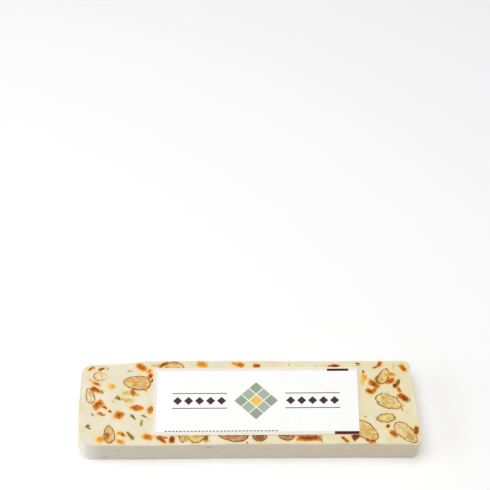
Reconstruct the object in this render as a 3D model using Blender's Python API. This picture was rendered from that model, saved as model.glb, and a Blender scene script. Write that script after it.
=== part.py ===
"""A bar of soft white nougat, sliced from a thick slab, so that its broad faces show cut almonds.

A paper label lies on it. The bar lies flat on its underside. X runs along it, Y runs from its front long
side to its back one, and Z points up. The origin is the middle of its footprint. Every length below is in
metres, unless a comment says otherwise.
"""

import math
from collections import namedtuple

import bmesh
import bpy
from mathutils import Matrix, Vector

MM = 0.001

# The bar's overall size.
LENGTH = 202 * MM
WIDTH = 60 * MM
THICKNESS = 15.5 * MM

# How round its edges are: the long edges, the foot of each end, and each upright corner by its end and
# its side.
EDGE_RADIUS = 0.8 * MM
LEFT_FOOT_RADIUS = 4.5 * MM
RIGHT_FOOT_RADIUS = 3 * MM
CORNER_RADII = {(-1, -1): 5 * MM, (1, -1): 3.5 * MM, (1, 1): 4.5 * MM, (-1, 1): 6.5 * MM}

# The hand-cut outline: how far each side falls short of a true rectangle where it falls short the most.
# At its foot the front side has only a share of its shortfall, and the right end leans in.
BACK_LEFT_SHORTFALL = 2.4 * MM
BACK_RIGHT_SHORTFALL = 0.8 * MM
FRONT_SHORTFALL = 0.9 * MM
FRONT_FOOT_SHARE = 0.35
LEFT_END_SHORTFALL = 1.6 * MM
RIGHT_END_SHORTFALL = 1.8 * MM
RIGHT_END_LEAN = 1.2 * MM

# How finely the bar is divided along its length, across its width, round a corner and round an edge.
LENGTH_STATIONS = 18
WIDTH_STATIONS = 6
CORNER_SEGMENTS = 5
EDGE_SEGMENTS = 3

# Neighbouring solids keep this gap.
GAP = 0.3 * MM

# A cut almond is half an egg, with its flat side in the bar's surface.
ALMOND_SEGMENTS = 18
ALMOND_RINGS = 6
ALMOND_POINT = 0.2
ALMOND_DEPTH_SHARE = 0.36
MOST_ALMOND_DEPTH = 4.2 * MM
SHARP_RIM = math.radians(40)

# The label lies on the top face.
LABEL_LENGTH = 123 * MM
LABEL_WIDTH = 47.4 * MM
LABEL_THICKNESS = 0.3 * MM
LABEL_CENTRE = Vector((5.2 * MM, 0.6 * MM))
LABEL_CORNER_RADIUS = 0.8 * MM
LABEL_CORNER_SEGMENTS = 3

# Where a cut almond lies in a face, in millimetres: its centre along and across the face, and its length
# and width there. The turn of its pointed end from the way along the face is in degrees.
Almond = namedtuple("Almond", "along across length width turn")

TOP_ALMONDS = (
    Almond(-66.6, 13.8, 17.0, 10.2, 174),
    Almond(-94.4, 4.8, 11.2, 5.2, 107),
    Almond(-81.2, -21.8, 12.6, 6.6, 99),
    Almond(-89.4, 18.6, 8.4, 6.8, -30),
    Almond(-44.4, 23.8, 11.8, 10.8, 14),
    Almond(82.4, 17.6, 12.6, 6.2, 66),
    Almond(84.0, -0.8, 16.8, 9.2, -25),
    Almond(81.2, -11.8, 12.2, 6.2, 184),
    Almond(68.8, -20.4, 17.6, 10.6, -40),
    Almond(92.3, -21.8, 17.6, 9.0, -50),
    Almond(-38.6, -22.2, 11.6, 4.6, -86),
    Almond(-29.8, -23.2, 11.0, 9.2, 12),
    Almond(-9.2, -22.4, 19.2, 9.4, 172),
    Almond(6.6, -22.8, 9.0, 8.4, 90),
    Almond(22.4, -23.0, 9.6, 7.6, 186),
)

UNDER_ALMONDS = (
    Almond(-84.5, -16.5, 15.6, 9.2, 24),
    Almond(-84.0, 12.0, 12.4, 8.0, -62),
    Almond(-63.0, 19.5, 16.8, 9.6, 8),
    Almond(-57.5, -8.0, 14.0, 7.4, 71),
    Almond(-38.0, 6.5, 17.4, 10.2, -33),
    Almond(-29.5, -20.0, 11.6, 8.8, 160),
    Almond(-12.0, 21.0, 13.8, 7.0, -12),
    Almond(-3.5, -9.0, 16.2, 9.8, 47),
    Almond(21.5, 9.5, 12.8, 8.4, 98),
    Almond(29.0, -19.5, 17.0, 9.4, -9),
    Almond(48.5, 19.0, 15.2, 8.6, 152),
    Almond(57.0, -5.5, 11.8, 6.6, -78),
    Almond(77.5, 13.0, 16.4, 10.0, 30),
    Almond(83.0, -17.0, 13.2, 8.2, -41),
)

# In an end, along is the way across the bar and across is the height above its middle.
LEFT_END_ALMONDS = (Almond(-9.5, 1.2, 12.6, 6.8, 12),)
RIGHT_END_ALMONDS = (Almond(11.0, -0.6, 13.0, 7.2, 171),)


def clear_scene():
    """Removes every object, so that the file starts empty."""
    for obj in list(bpy.data.objects):
        bpy.data.objects.remove(obj, do_unlink=True)


def collection(name, hidden=False):
    """A new collection in the scene; a hidden one holds cutters."""
    made = bpy.data.collections.new(name)
    made.hide_render = hidden
    bpy.context.scene.collection.children.link(made)
    return made


def finish(name, colour, roughness):
    """A Principled material with one colour."""
    material = bpy.data.materials.new(name)
    material.use_nodes = True
    shader = material.node_tree.nodes["Principled BSDF"]
    shader.inputs["Base Color"].default_value = (*colour, 1.0)
    shader.inputs["Roughness"].default_value = roughness
    shader.inputs["Metallic"].default_value = 0.0
    return material


def object_from(bm, name, home, material=None):
    """Writes a bmesh to a new object in a collection, and frees it."""
    mesh = bpy.data.meshes.new(name)
    bm.to_mesh(mesh)
    bm.free()
    obj = bpy.data.objects.new(name, mesh)
    home.objects.link(obj)
    if material is not None:
        mesh.materials.append(material)
    return obj


def box(length, width, height):
    """A bmesh box centred on the origin."""
    bm = bmesh.new()
    bmesh.ops.create_cube(bm, size=1.0)
    bmesh.ops.scale(bm, vec=(length, width, height), verts=bm.verts)
    return bm


def round_upright_edges(bm, edges, radius, segments):
    """Rounds upright edges of a box."""
    bmesh.ops.bevel(
        bm, geom=edges, offset=radius, segments=segments, profile=0.5, affect="EDGES", material=-1,
    )


def slice_through(bm, place, normal):
    """Adds a loop of edges where a plane crosses the shape."""
    everything = bm.verts[:] + bm.edges[:] + bm.faces[:]
    bmesh.ops.bisect_plane(bm, geom=everything, plane_co=place, plane_no=normal, dist=1e-6)


def ease(value, start, end):
    """0 at start and before, 1 at end and past it, and a smooth S between them; end may be below start."""
    t = min(1.0, max(0.0, (value - start) / (end - start)))
    return t * t * (3 - 2 * t)


def back_side(x):
    """The back long side's Y at x: narrower at the left end, and a little at the right."""
    narrowing = BACK_LEFT_SHORTFALL * ease(x, -0.27 * LENGTH, -0.44 * LENGTH)
    narrowing += BACK_RIGHT_SHORTFALL * ease(x, -0.12 * LENGTH, 0.25 * LENGTH)
    return WIDTH / 2 - narrowing


def front_side(x, z):
    """The front long side's Y: it spreads out at its foot, by the right corner and left of the middle."""
    swell = 0.5 * math.exp(-(((x + 0.32 * LENGTH) / (0.13 * LENGTH)) ** 2))
    shortfall = FRONT_SHORTFALL * (1 - ease(x, 0.34 * LENGTH, 0.47 * LENGTH)) * (1 - swell)
    return -WIDTH / 2 + shortfall * (FRONT_FOOT_SHARE + (1 - FRONT_FOOT_SHARE) * z / THICKNESS)


def left_end(y):
    """The left end's X at y: drawn in towards the front."""
    return -LENGTH / 2 + LEFT_END_SHORTFALL * ease(y, 0.03 * WIDTH, -0.48 * WIDTH)


def right_end(y):
    """The right end's X at y: drawn in towards the back."""
    return LENGTH / 2 - RIGHT_END_SHORTFALL * ease(y, -0.3 * WIDTH, 0.4 * WIDTH)


def rounding(z, foot_radius):
    """How far an upright wall is drawn in at height z, by the arc at its foot and the one at its top."""
    if z < foot_radius:
        return foot_radius - math.sqrt(foot_radius ** 2 - (foot_radius - z) ** 2)
    rise = max(0.0, z - (THICKNESS - EDGE_RADIUS))
    return EDGE_RADIUS - math.sqrt(max(0.0, EDGE_RADIUS ** 2 - rise ** 2))


def hand_cut(point):
    """Moves a point of the true rectangular bar to its place in the uneven, rounded one."""
    side = back_side(point.x) if point.y > 0 else -front_side(point.x, point.z)
    side -= rounding(point.z, EDGE_RADIUS)
    if point.x > 0:
        lean = RIGHT_END_LEAN * (1 - point.z / THICKNESS)
        end = right_end(point.y) - rounding(point.z, RIGHT_FOOT_RADIUS) - lean
    else:
        end = -left_end(point.y) - rounding(point.z, LEFT_FOOT_RADIUS)
    return Vector((point.x / (LENGTH / 2) * end, point.y / (WIDTH / 2) * side, point.z))


def wall_levels():
    """The heights at which the walls are divided: the steps of the arcs at their foot and top."""
    steps = [1 - math.cos(math.radians(90) * k / EDGE_SEGMENTS) for k in range(1, EDGE_SEGMENTS + 1)]
    foot = [radius * step for radius in (EDGE_RADIUS, LEFT_FOOT_RADIUS) for step in steps]
    top = [THICKNESS - EDGE_RADIUS * step for step in steps]
    return sorted(foot + top)


def bar_shape():
    """The bar without its pockets: a divided box with round corners, moved to the hand-cut outline."""
    bm = box(LENGTH, WIDTH, THICKNESS)
    bmesh.ops.translate(bm, vec=(0, 0, THICKNESS / 2), verts=bm.verts)
    for (end, side), radius in CORNER_RADII.items():
        corner = [
            e for e in bm.edges
            if all(v.co.x * end > LENGTH / 2 - MM and v.co.y * side > WIDTH / 2 - MM for v in e.verts)
        ]
        round_upright_edges(bm, corner, radius, CORNER_SEGMENTS)
    widest = max(CORNER_RADII.values())
    for axis, size, stations in ((0, LENGTH, LENGTH_STATIONS), (1, WIDTH, WIDTH_STATIONS)):
        normal = Vector([float(k == axis) for k in range(3)])
        reach = size / 2 - widest
        for step in range(stations + 1):
            slice_through(bm, normal * reach * (2 * step / stations - 1), normal)
    for level in wall_levels():
        slice_through(bm, Vector((0, 0, level)), Vector((0, 0, 1)))
    for vert in bm.verts:
        vert.co = hand_cut(vert.co)
    return bm


def egg(length, width, depth):
    """A closed egg round the origin, with its pointed end at +X."""
    bm = bmesh.new()
    bmesh.ops.create_uvsphere(bm, u_segments=ALMOND_SEGMENTS, v_segments=ALMOND_RINGS, radius=1.0)
    for vert in bm.verts:
        taper = 1 - ALMOND_POINT * vert.co.x
        place = (vert.co.x * length / 2, vert.co.y * width / 2 * taper, vert.co.z * depth * taper)
        vert.co = Vector(place)
    return bm


def almond_depth(almond):
    """How deep the almond goes below its cut."""
    return min(MOST_ALMOND_DEPTH, ALMOND_DEPTH_SHARE * almond.width * MM)


def cut_egg(almond):
    """The half of the egg below the cut: a closed solid with its flat side up, in Z = 0."""
    bm = egg(almond.length * MM, almond.width * MM, almond_depth(almond))
    everything = bm.verts[:] + bm.edges[:] + bm.faces[:]
    bmesh.ops.bisect_plane(
        bm, geom=everything, plane_co=(0, 0, 0), plane_no=(0, 0, 1), dist=1e-6, clear_outer=True,
    )
    bmesh.ops.edgeloop_fill(bm, edges=[e for e in bm.edges if e.is_boundary])
    bmesh.ops.recalc_face_normals(bm, faces=bm.faces)
    return bm


def pocket_egg(almond):
    """The whole egg grown by the gap all round, which hollows the almond's pocket."""
    return egg(almond.length * MM + 2 * GAP, almond.width * MM + 2 * GAP, almond_depth(almond) + GAP)


def in_top(almond):
    """The almond's place in the top face, with its cut facing up."""
    place = Vector((almond.along * MM, almond.across * MM, THICKNESS))
    return Matrix.Translation(place) @ Matrix.Rotation(math.radians(almond.turn), 4, "Z")


def in_underside(almond):
    """The almond's place in the underside, with its cut facing down."""
    place = Vector((almond.along * MM, almond.across * MM, 0))
    turned = Matrix.Rotation(math.radians(almond.turn), 4, "Z") @ Matrix.Rotation(math.pi, 4, "X")
    return Matrix.Translation(place) @ turned


def in_end(almond, end_x, side):
    """The almond's place in an end, with its cut square to the end's surface there.

    end_x gives the end's X at a Y; side is 1 for the right end and -1 for the left one.
    """
    y = almond.along * MM
    slope = (end_x(y + MM) - end_x(y - MM)) / (2 * MM)
    place = Vector((end_x(y), y, THICKNESS / 2 + almond.across * MM))
    if side > 0:
        place.x -= RIGHT_END_LEAN * (1 - place.z / THICKNESS)
    swing = Matrix.Rotation(-math.atan(slope), 4, "Z")
    facing = Matrix.Rotation(side * math.pi / 2, 4, "Y") @ Matrix.Rotation(math.pi / 2, 4, "Z")
    return Matrix.Translation(place) @ swing @ facing @ Matrix.Rotation(math.radians(almond.turn), 4, "Z")


def placed_almonds():
    """Every almond as (node name, almond, matrix of its place)."""
    faces = (
        ("top", TOP_ALMONDS, in_top),
        ("under", UNDER_ALMONDS, in_underside),
        ("left", LEFT_END_ALMONDS, lambda almond: in_end(almond, left_end, -1)),
        ("right", RIGHT_END_ALMONDS, lambda almond: in_end(almond, right_end, 1)),
    )
    return [
        (f"almond_{face}_{number:02d}", almond, place_in(almond))
        for face, almonds, place_in in faces
        for number, almond in enumerate(almonds, 1)
    ]


def build_bar(parts, cutters, placed, material):
    """The nougat, with a pocket for each almond."""
    bar = object_from(bar_shape(), "nougat", parts, material)
    pockets = bmesh.new()
    for _, almond, place in placed:
        pocket = pocket_egg(almond)
        bmesh.ops.transform(pocket, matrix=place, verts=pocket.verts)
        shape = bpy.data.meshes.new("pocket")
        pocket.to_mesh(shape)
        pocket.free()
        pockets.from_mesh(shape)
        bpy.data.meshes.remove(shape)
    cutter = object_from(pockets, "pockets", cutters)
    cutter.hide_render = True
    cutter.display_type = "WIRE"
    hollowing = bar.modifiers.new("almond pockets", "BOOLEAN")
    hollowing.operation = "DIFFERENCE"
    hollowing.object = cutter


def build_almonds(parts, placed, material):
    """One half egg for each cut almond, set in its pocket."""
    for name, almond, place in placed:
        nut = object_from(cut_egg(almond), name, parts, material)
        nut.matrix_world = place
        nut.data.shade_smooth()
        nut.data.set_sharp_from_angle(angle=SHARP_RIM)


def build_label(parts, material):
    """The label: a flat sheet with slightly rounded corners, lying just clear of the nougat."""
    bm = box(LABEL_LENGTH, LABEL_WIDTH, LABEL_THICKNESS)
    upright = [e for e in bm.edges if abs(e.verts[0].co.z - e.verts[1].co.z) > LABEL_THICKNESS / 2]
    round_upright_edges(bm, upright, LABEL_CORNER_RADIUS, LABEL_CORNER_SEGMENTS)
    label = object_from(bm, "label", parts, material)
    label.location = (LABEL_CENTRE.x, LABEL_CENTRE.y, THICKNESS + GAP + LABEL_THICKNESS / 2)


def main():
    """Builds the bar, its almonds and its label."""
    clear_scene()
    parts = collection("nougat bar")
    cutters = collection("cutters", hidden=True)
    placed = placed_almonds()
    build_bar(parts, cutters, placed, finish("nougat", (0.86, 0.79, 0.60), 0.55))
    build_almonds(parts, placed, finish("almond", (0.79, 0.50, 0.19), 0.5))
    build_label(parts, finish("label paper", (0.93, 0.93, 0.92), 0.6))


main()
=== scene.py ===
"""Dresses a bar of soft white nougat: its sliced faces, cut almonds, candied peel, nut chips and paper label.

Lengths are in metres unless a name says otherwise. X runs along the bar, Y from its plain front side to its back
one, and Z up, as in the loaded frame, so every piece is made where it belongs.
"""

import logging
import math
from collections.abc import Callable
from dataclasses import dataclass, field
from enum import Enum
from random import Random

import bmesh
import bpy
import numpy as np
from mathutils import Matrix, Vector, noise


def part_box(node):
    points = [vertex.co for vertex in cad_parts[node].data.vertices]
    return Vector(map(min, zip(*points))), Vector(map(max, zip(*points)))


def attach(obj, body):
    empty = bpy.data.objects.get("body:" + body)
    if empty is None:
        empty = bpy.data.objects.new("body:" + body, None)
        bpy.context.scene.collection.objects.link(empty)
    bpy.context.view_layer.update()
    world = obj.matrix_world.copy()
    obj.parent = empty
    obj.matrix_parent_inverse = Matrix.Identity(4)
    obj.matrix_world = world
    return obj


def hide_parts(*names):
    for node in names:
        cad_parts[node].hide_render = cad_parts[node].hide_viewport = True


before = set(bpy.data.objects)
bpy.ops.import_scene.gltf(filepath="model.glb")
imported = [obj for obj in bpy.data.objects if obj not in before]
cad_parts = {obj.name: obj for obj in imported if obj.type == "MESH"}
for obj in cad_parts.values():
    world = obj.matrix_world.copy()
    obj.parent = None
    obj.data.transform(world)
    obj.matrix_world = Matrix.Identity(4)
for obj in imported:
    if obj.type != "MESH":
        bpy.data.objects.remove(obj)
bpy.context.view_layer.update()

LOG = logging.getLogger("nougat_bar")
MM = 0.001
ROOT = "root"
Colour = tuple[float, float, float]
Socket = bpy.types.NodeSocket


def linear(red: int, green: int, blue: int) -> Colour:
    """A screen colour as scene-linear light.

    Args:
        red: Red, 0 to 255.
        green: Green, 0 to 255.
        blue: Blue, 0 to 255.

    Returns:
        The three linear values.
    """
    def one(level: int) -> float:
        """One channel."""
        share = level / 255
        return share / 12.92 if share <= 0.04045 else ((share + 0.055) / 1.055) ** 2.4
    return one(red), one(green), one(blue)


def ease(value: float, start: float, end: float) -> float:
    """0 at start and before, 1 at end and past it, with a smooth S between; end may be below start."""
    t = min(1.0, max(0.0, (value - start) / (end - start)))
    return t * t * (3 - 2 * t)


# ---------------------------------------------------------------- finishes


class Bench:
    """A material's node tree, with short calls for the nodes that the finishes use."""

    def __init__(self, name: str) -> None:
        """Starts a material that holds one Principled shader."""
        self.material = bpy.data.materials.new(name)
        self.material.use_nodes = True
        self.tree = self.material.node_tree
        self.shader = self.tree.nodes["Principled BSDF"]
        self.place = self.node("ShaderNodeTexCoord").outputs["Object"]

    def node(self, kind: str, feeds: dict | None = None, **settings: object) -> bpy.types.Node:
        """Adds a node.

        Args:
            kind: The node's type.
            feeds: What goes into its inputs, by name or number: a socket to link or a constant to set.
            **settings: The node's own properties.

        Returns:
            The new node.
        """
        made = self.tree.nodes.new(kind)
        for key, value in settings.items():
            setattr(made, key, value)
        for key, value in (feeds or {}).items():
            self.feed(made.inputs[key], value)
        return made

    def feed(self, socket: Socket, value: object) -> None:
        """Links a socket into an input, or sets the input's constant."""
        if isinstance(value, bpy.types.NodeSocket):
            self.tree.links.new(value, socket)
        elif isinstance(value, tuple) and socket.type == "RGBA":
            socket.default_value = (*value, 1.0)
        else:
            socket.default_value = value

    def finish(self, **feeds: object) -> bpy.types.Material:
        """Feeds the shader's inputs, named with underscores for spaces, and returns the material."""
        for key, value in feeds.items():
            self.feed(self.shader.inputs[key.replace("_", " ")], value)
        return self.material

    def noise(self, scale: float, detail: float = 3.0, place: Socket | None = None) -> Socket:
        """Soft noise with that many features to a metre, as a value about 0.5."""
        feeds = {"Vector": place or self.place, "Scale": scale, "Detail": detail, "Roughness": 0.55}
        return self.node("ShaderNodeTexNoise", feeds).outputs["Fac"]

    def stretched(self, scale: Colour) -> Socket:
        """The Object coordinates, stretched along each axis."""
        return self.node("ShaderNodeMapping", {"Vector": self.place, "Scale": scale}).outputs["Vector"]

    def attribute(self, name: str, output: str = "Fac") -> Socket:
        """A value or colour that the mesh carries."""
        return self.node("ShaderNodeAttribute", attribute_name=name).outputs[output]

    def channels(self, colour: Socket) -> tuple[Socket, Socket, Socket]:
        """The three channels of a colour."""
        outputs = self.node("ShaderNodeSeparateColor", {"Color": colour}).outputs
        return outputs[0], outputs[1], outputs[2]

    def math(self, operation: str, first: object, second: object = 0.0, clamp: bool = False) -> Socket:
        """One step of arithmetic."""
        made = self.node("ShaderNodeMath", {0: first, 1: second}, operation=operation, use_clamp=clamp)
        return made.outputs[0]

    def between(self, value: Socket, low: float, high: float, start: float = 0.0, end: float = 1.0) -> Socket:
        """Maps a value from low..high to start..end, smoothly and clamped."""
        feeds = {"Value": value, "From Min": low, "From Max": high, "To Min": start, "To Max": end}
        return self.node("ShaderNodeMapRange", feeds, interpolation_type="SMOOTHSTEP").outputs[0]

    def blend(self, share: object, first: object, second: object) -> Socket:
        """Mixes two colours by a share."""
        return self.node("ShaderNodeMix", {0: share, 6: first, 7: second}, data_type="RGBA").outputs[2]

    def ramp(self, value: Socket, stops: tuple[tuple[float, Colour], ...]) -> Socket:
        """A colour for each value, read from stops in rising order."""
        made = self.node("ShaderNodeValToRGB", {"Fac": value})
        elements = made.color_ramp.elements
        while len(elements) < len(stops):
            elements.new(0.5)
        for element, (position, colour) in zip(elements, stops):
            element.position = position
            element.color = (*colour, 1.0)
        return made.outputs["Color"]

    def bump(self, height: Socket, depth: float, strength: float = 1.0, below: Socket | None = None) -> Socket:
        """A normal with relief of that depth in metres, over another normal if there is one."""
        feeds = {"Height": height, "Distance": depth, "Strength": strength}
        if below is not None:
            feeds["Normal"] = below
        return self.node("ShaderNodeBump", feeds).outputs["Normal"]


@dataclass(frozen=True)
class NougatFinish:
    """Creamy, slightly translucent nougat, stained round what is set in it, and plainer on its long sides, which are
    painted darker than its top as painted shade.
    """

    left: Colour = linear(229, 221, 196)
    right: Colour = linear(231, 221, 182)
    airy: Colour = linear(240, 233, 214)
    dense: Colour = linear(226, 214, 176)
    syrup: Colour = linear(245, 205, 118)
    olive: Colour = linear(220, 213, 138)
    shade: Colour = linear(160, 128, 92)
    # The long sides' colours: the cream painted darker, as painted shade on the sides.
    shaded_side_left: Colour = linear(216, 206, 190)
    shaded_side_right: Colour = linear(216, 205, 181)
    # Painted highlight: a pale colour standing for the light from the left on the front-left corner.
    painted_highlight: Colour = linear(246, 244, 240)
    half_length: float = 0.1

    def colour(self, bench: Bench) -> Socket:
        """The nougat's colour: cream with airy and dense patches, plainer sides painted darker as painted shade, a
        pale painted highlight of the light from the left near the front-left corner, and stains.
        """
        along = bench.node("ShaderNodeSeparateXYZ", {"Vector": bench.place}).outputs["X"]
        share = bench.between(along, -self.half_length, self.half_length)
        base = bench.blend(share, self.left, self.right)
        base = bench.blend(bench.between(bench.noise(85), 0.45, 0.75, 0.0, 0.6), base, self.airy)
        base = bench.blend(bench.between(bench.noise(210, 4.0), 0.52, 0.78, 0.0, 0.5), base, self.dense)
        side, painted_highlight, _ = bench.channels(bench.attribute("zone", "Color"))
        # Painted shade: the plainer long sides take the cream painted darker.
        plain = bench.blend(share, self.shaded_side_left, self.shaded_side_right)
        # Painted highlight of the light from the left, laid over the sides near the front-left corner.
        plain = bench.blend(bench.math("MULTIPLY", painted_highlight, bench.between(bench.noise(260), 0.2, 0.6, 0.75, 1.0)), plain, self.painted_highlight)
        base = bench.blend(side, base, plain)
        warm, green, brown = bench.channels(bench.attribute("stain", "Color"))
        breakup = bench.between(bench.noise(420), 0.25, 0.75, 0.5, 1.3)
        for amount, stain in ((green, self.olive), (warm, self.syrup), (brown, self.shade)):
            base = bench.blend(bench.math("MULTIPLY", amount, breakup, clamp=True), base, stain)
        return base

    def relief(self, bench: Bench) -> Socket:
        """Fine relief: knife drag along the bar, scattered air holes and a soft grain."""
        drag = bench.bump(bench.noise(1.0, 3.0, bench.stretched((90.0, 1100.0, 1100.0))), 0.00008, 0.7)
        cells = bench.node("ShaderNodeTexVoronoi", {"Vector": bench.place, "Scale": 420.0})
        chance = bench.channels(cells.outputs["Color"])[0]
        wide = bench.between(chance, 0.55, 1.0, 0.0, 0.34)
        hole = bench.math("GREATER_THAN", wide, cells.outputs["Distance"])
        deep = bench.math("MULTIPLY", hole, bench.math("SUBTRACT", wide, cells.outputs["Distance"]))
        holes = bench.bump(bench.math("SUBTRACT", 1.0, deep), 0.0009, 1.0, drag)
        return bench.bump(bench.noise(1700, 4.0), 0.00012, 0.8, holes)

    def build(self) -> bpy.types.Material:
        """The material, which reads the mesh's stain and zone colours."""
        bench = Bench("nougat")
        side = bench.channels(bench.attribute("zone", "Color"))[0]
        rough = bench.math("ADD", bench.between(bench.noise(500), 0.3, 0.7, 0.42, 0.56), bench.math(
            "MULTIPLY", side, 0.16))
        return bench.finish(
            Base_Color=self.colour(bench), Roughness=rough, Normal=self.relief(bench), IOR=1.45,
            Subsurface_Weight=0.25, Subsurface_Radius=(1.0, 0.8, 0.5), Subsurface_Scale=0.0012,
        )


@dataclass(frozen=True)
class AlmondFinish:
    """Cut almond flesh inside a thin brown skin, toasted in places, that a veil of nougat may partly hide."""

    name: str
    flesh: Colour
    deep: Colour
    pale: Colour
    skin: Colour = linear(118, 66, 14)
    burnt: Colour = linear(150, 82, 22)
    veil: Colour = linear(233, 223, 192)
    skin_width: float = 0.66

    def build(self) -> bpy.types.Material:
        """The material, which reads from the mesh how far inside the rim a point is and how its almond looks."""
        bench = Bench(self.name)
        inside, veil, vigour = bench.channels(bench.attribute("section", "Color"))
        centre, cleft, toast = bench.channels(bench.attribute("figure", "Color"))
        grain = bench.noise(1.0, 4.0, bench.attribute("grain", "Vector"))
        body = bench.blend(bench.between(bench.noise(330), 0.35, 0.7), self.flesh, self.pale)
        body = bench.blend(bench.between(grain, 0.48, 0.66, 0.0, 0.95), body, self.deep)
        browned = bench.math("MULTIPLY", bench.between(bench.noise(240), 0.25, 0.55, 0.35, 1.0), toast)
        browned = bench.math("MULTIPLY", browned, centre)
        body = bench.blend(bench.math("MULTIPLY", browned, 1.0, clamp=True), body, self.deep)
        body = bench.blend(bench.math("SUBTRACT", browned, 1.0, clamp=True), body, self.burnt)
        near_rim = bench.math("MULTIPLY", bench.between(inside, 1.7, 0.3), bench.between(bench.noise(300), 0.34, 0.6))
        body = bench.blend(bench.math("MULTIPLY", near_rim, 0.85), body, self.deep)
        body = bench.blend(bench.math("MULTIPLY", cleft, 0.75), body, self.skin)
        patch = bench.math("ADD", bench.noise(430, 3.0), bench.math("MULTIPLY", veil, 0.42))
        body = bench.blend(bench.between(patch, 0.66, 0.84, 0.0, 0.92), body, self.veil)
        wobble = bench.between(bench.noise(620, 2.0), 0.2, 0.8, 0.3, 1.5)
        edge = bench.math("DIVIDE", inside, bench.math("MULTIPLY", wobble, self.skin_width))
        line = bench.between(edge, 0.6, 1.1, 1.0, 0.0)
        line = bench.math("MULTIPLY", line, bench.between(bench.noise(280, 2.0), 0.28, 0.45, 0.4, 1.0))
        base = bench.blend(bench.math("MULTIPLY", line, vigour, clamp=True), body, self.skin)
        relief = bench.bump(bench.noise(2600, 3.0), 0.00004, 0.7)
        return bench.finish(
            Base_Color=base, Roughness=bench.between(grain, 0.3, 0.7, 0.36, 0.52), Normal=relief, IOR=1.47,
            Specular_IOR_Level=0.35, Subsurface_Weight=0.12, Subsurface_Radius=(1.0, 0.7, 0.4),
            Subsurface_Scale=0.0012,
        )


@dataclass(frozen=True)
class BitFinish:
    """Chopped bits that darken to their core and melt into the nougat at their rim."""

    name: str
    stops: tuple[tuple[float, Colour], ...]
    roughness: tuple[float, float]
    glow: float
    melt: Colour = linear(240, 206, 132)
    veil: Colour = linear(232, 222, 192)

    def build(self) -> bpy.types.Material:
        """The material, which reads each bit's depth of colour, its core and the nougat over it."""
        bench = Bench(self.name)
        depth, core, veil = bench.channels(bench.attribute("bit", "Color"))
        drift = bench.between(bench.noise(650, 3.0), 0.25, 0.75, -0.2, 0.2)
        deeper = bench.math("MULTIPLY", bench.math("SUBTRACT", core, 0.4), 0.38)
        tone = bench.math("ADD", bench.math("ADD", depth, deeper), drift, clamp=True)
        base = bench.ramp(tone, self.stops)
        rim = bench.math("MULTIPLY", bench.between(core, 0.0, 0.45, 0.75, 0.0), bench.between(
            bench.noise(480), 0.35, 0.65, 0.15, 1.2))
        base = bench.blend(bench.math("MULTIPLY", rim, 1.0, clamp=True), base, self.melt)
        hidden = bench.between(bench.math("ADD", bench.noise(700, 3.0), veil), 0.72, 1.05, 0.0, 0.85)
        base = bench.blend(hidden, base, self.veil)
        relief = bench.bump(bench.noise(1500, 3.0), 0.00006, 0.7)
        rough = bench.between(bench.noise(800), 0.3, 0.7, *self.roughness)
        return bench.finish(
            Base_Color=base, Roughness=rough, Normal=relief, IOR=1.46, Specular_IOR_Level=0.25,
            Subsurface_Weight=self.glow, Subsurface_Radius=(1.0, 0.6, 0.3), Subsurface_Scale=0.001,
        )


PEEL_FINISH = BitFinish("candied_peel", (
    (0.0, linear(246, 210, 112)), (0.25, linear(240, 180, 62)), (0.5, linear(224, 142, 24)),
    (0.75, linear(194, 100, 6)), (1.0, linear(120, 50, 2)),
), (0.28, 0.46), 0.2)
CHIP_FINISH = BitFinish("nut_chips", (
    (0.0, linear(228, 210, 134)), (0.35, linear(208, 176, 80)), (0.7, linear(174, 134, 56)),
    (1.0, linear(126, 90, 34)),
), (0.45, 0.6), 0.0)


@dataclass(frozen=True)
class PaperFinish:
    """Smooth uncoated paper, or a flat ink printed on it."""

    name: str
    colour: Colour
    roughness: float = 0.55
    unevenness: float = 0.03

    def build(self) -> bpy.types.Material:
        """The material, a little uneven in tone, with fine fibres."""
        bench = Bench(self.name)
        darker = tuple(channel * (1 - self.unevenness) for channel in self.colour)
        base = bench.blend(bench.between(bench.noise(160, 4.0), 0.3, 0.7), self.colour, darker)
        fibres = bench.bump(bench.noise(5200, 3.0), 0.000012, 0.6)
        return bench.finish(Base_Color=base, Roughness=self.roughness, Specular_IOR_Level=0.25, Normal=fibres)


# ---------------------------------------------------------------- shared mesh work


def keep(bm: bmesh.types.BMesh, name: str, materials: list[bpy.types.Material]) -> bpy.types.Object:
    """Turns a finished bmesh into a piece of the bar that rides on its body.

    Args:
        bm: The shape, in place. It is freed.
        name: The piece's name.
        materials: Its materials, in the order of the faces' material numbers.

    Returns:
        The new object.
    """
    mesh = bpy.data.meshes.new(name)
    bm.to_mesh(mesh)
    bm.free()
    for material in materials:
        mesh.materials.append(material)
    piece = bpy.data.objects.new(name, mesh)
    bpy.context.scene.collection.objects.link(piece)
    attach(piece, ROOT)
    LOG.info("%s: %d faces", name, len(mesh.polygons))
    return piece


def merge(whole: bmesh.types.BMesh, part: bmesh.types.BMesh) -> None:
    """Moves one shape into a bigger one, and frees it."""
    mesh = bpy.data.meshes.new("part")
    part.to_mesh(mesh)
    part.free()
    whole.from_mesh(mesh)
    bpy.data.meshes.remove(mesh)


def write_values(mesh: bpy.types.Mesh, name: str, values: np.ndarray) -> None:
    """Stores one number for each vertex."""
    mesh.attributes.new(name, "FLOAT", "POINT").data.foreach_set("value", values.astype(np.float32).ravel())


def write_colours(mesh: bpy.types.Mesh, name: str, values: np.ndarray) -> None:
    """Stores three numbers for each vertex, as a colour."""
    full = np.ones((len(values), 4), np.float32)
    full[:, :3] = values
    mesh.attributes.new(name, "FLOAT_COLOR", "POINT").data.foreach_set("color", full.ravel())


def places(mesh: bpy.types.Mesh) -> np.ndarray:
    """The mesh's vertices, one row each."""
    co = np.zeros(len(mesh.vertices) * 3, np.float32)
    mesh.vertices.foreach_get("co", co)
    return co.reshape(-1, 3).astype(float)


# ---------------------------------------------------------------- the almonds' cuts


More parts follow.
